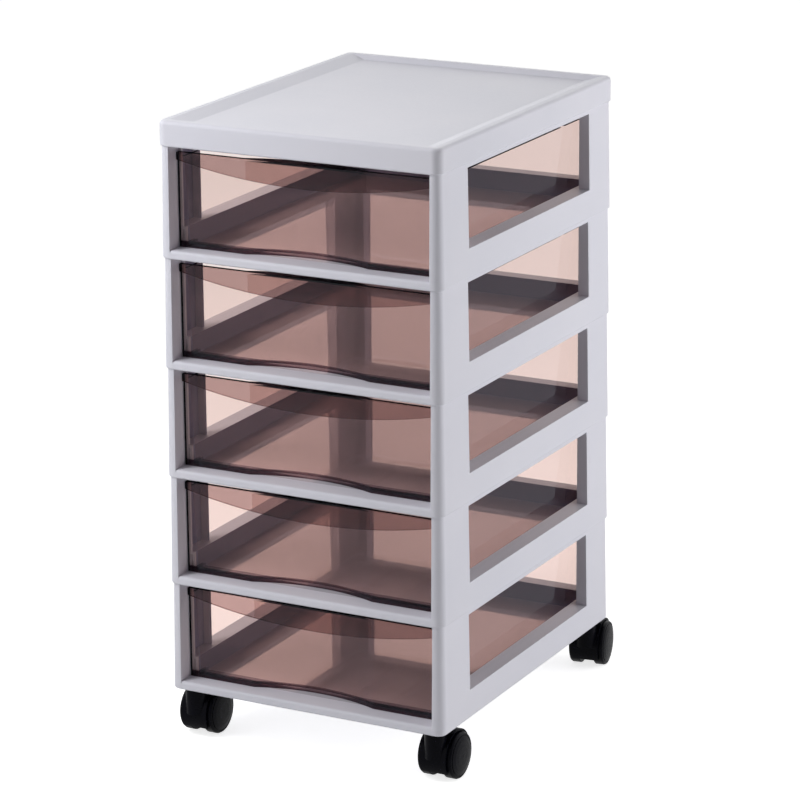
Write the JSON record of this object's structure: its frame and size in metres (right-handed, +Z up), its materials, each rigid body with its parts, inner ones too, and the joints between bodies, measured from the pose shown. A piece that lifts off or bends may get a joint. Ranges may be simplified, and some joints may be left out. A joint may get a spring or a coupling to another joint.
{
  "type": "plastic drawer tower",
  "caption": "Tall open-frame plastic storage tower with transparent smoke-tinted pull-out drawers, a shallow tray top and twin-wheel swivel casters.",
  "frame": {"origin": "on the floor under the middle of the footprint, with the trailing rear casters counted", "axes": "+Z up, -Y out of the drawer fronts, +X the right side seen from the front"},
  "size_m": [0.2654, 0.3547, 0.5411],
  "materials": {
    "frame": "satin",
    "smoke": "gloss",
    "caster_black": "satin",
    "steel": "satin"
  },
  "bodies": {
    "tower": {"top_panel": "frame", "tier_frame_1": "frame", "tier_frame_2": "frame", "tier_frame_3": "frame", "tier_frame_4": "frame", "tier_frame_5": "frame", "stem_fl": "steel", "stem_fr": "steel", "stem_rl": "steel", "stem_rr": "steel"},
    "drawer_1": {"drawer_1": "smoke"},
    "drawer_2": {"drawer_2": "smoke"},
    "drawer_3": {"drawer_3": "smoke"},
    "drawer_4": {"drawer_4": "smoke"},
    "drawer_5": {"drawer_5": "smoke"},
    "caster_fl": {"hood_fl": "caster_black", "axle_fl": "steel"},
    "wheel_fl_left": {"wheel_fl_left": "caster_black"},
    "wheel_fl_right": {"wheel_fl_right": "caster_black"},
    "caster_fr": {"hood_fr": "caster_black", "axle_fr": "steel"},
    "wheel_fr_left": {"wheel_fr_left": "caster_black"},
    "wheel_fr_right": {"wheel_fr_right": "caster_black"},
    "caster_rl": {"hood_rl": "caster_black", "axle_rl": "steel"},
    "wheel_rl_left": {"wheel_rl_left": "caster_black"},
    "wheel_rl_right": {"wheel_rl_right": "caster_black"},
    "caster_rr": {"hood_rr": "caster_black", "axle_rr": "steel"},
    "wheel_rr_left": {"wheel_rr_left": "caster_black"},
    "wheel_rr_right": {"wheel_rr_right": "caster_black"}
  },
  "joints": [
    {"name": "drawer_1_slide", "type": "slide", "parent": "tower", "child": "drawer_1", "axis": [0, -1, 0], "range_m": [0, 0.25]},
    {"name": "drawer_2_slide", "type": "slide", "parent": "tower", "child": "drawer_2", "axis": [0, -1, 0], "range_m": [0, 0.25]},
    {"name": "drawer_3_slide", "type": "slide", "parent": "tower", "child": "drawer_3", "axis": [0, -1, 0], "range_m": [0, 0.25]},
    {"name": "drawer_4_slide", "type": "slide", "parent": "tower", "child": "drawer_4", "axis": [0, -1, 0], "range_m": [0, 0.25]},
    {"name": "drawer_5_slide", "type": "slide", "parent": "tower", "child": "drawer_5", "axis": [0, -1, 0], "range_m": [0, 0.25]},
    {"name": "caster_fl_swivel", "type": "hinge", "parent": "tower", "child": "caster_fl", "pos_m": [-0.115, -0.1614, 0.037], "axis": [0, 0, 1], "continuous": true},
    {"name": "wheel_fl_left_spin", "type": "hinge", "parent": "caster_fl", "child": "wheel_fl_left", "pos_m": [-0.115, -0.1444, 0.02], "axis": [1, 0, 0], "continuous": true},
    {"name": "wheel_fl_right_spin", "type": "hinge", "parent": "caster_fl", "child": "wheel_fl_right", "pos_m": [-0.115, -0.1444, 0.02], "axis": [1, 0, 0], "continuous": true},
    {"name": "caster_fr_swivel", "type": "hinge", "parent": "tower", "child": "caster_fr", "pos_m": [0.115, -0.1614, 0.037], "axis": [0, 0, 1], "continuous": true},
    {"name": "wheel_fr_left_spin", "type": "hinge", "parent": "caster_fr", "child": "wheel_fr_left", "pos_m": [0.115, -0.1444, 0.02], "axis": [1, 0, 0], "continuous": true},
    {"name": "wheel_fr_right_spin", "type": "hinge", "parent": "caster_fr", "child": "wheel_fr_right", "pos_m": [0.115, -0.1444, 0.02], "axis": [1, 0, 0], "continuous": true},
    {"name": "caster_rl_swivel", "type": "hinge", "parent": "tower", "child": "caster_rl", "pos_m": [-0.115, 0.1366, 0.037], "axis": [0, 0, 1], "continuous": true},
    {"name": "wheel_rl_left_spin", "type": "hinge", "parent": "caster_rl", "child": "wheel_rl_left", "pos_m": [-0.11234, 0.15339, 0.02], "axis": [0.9877, -0.1564, 0], "continuous": true},
    {"name": "wheel_rl_right_spin", "type": "hinge", "parent": "caster_rl", "child": "wheel_rl_right", "pos_m": [-0.11234, 0.15339, 0.02], "axis": [0.9877, -0.1564, 0], "continuous": true},
    {"name": "caster_rr_swivel", "type": "hinge", "parent": "tower", "child": "caster_rr", "pos_m": [0.115, 0.1366, 0.037], "axis": [0, 0, 1], "continuous": true},
    {"name": "wheel_rr_left_spin", "type": "hinge", "parent": "caster_rr", "child": "wheel_rr_left", "pos_m": [0.11234, 0.15339, 0.02], "axis": [0.9877, 0.1564, 0], "continuous": true},
    {"name": "wheel_rr_right_spin", "type": "hinge", "parent": "caster_rr", "child": "wheel_rr_right", "pos_m": [0.11234, 0.15339, 0.02], "axis": [0.9877, 0.1564, 0], "continuous": true}
  ]
}
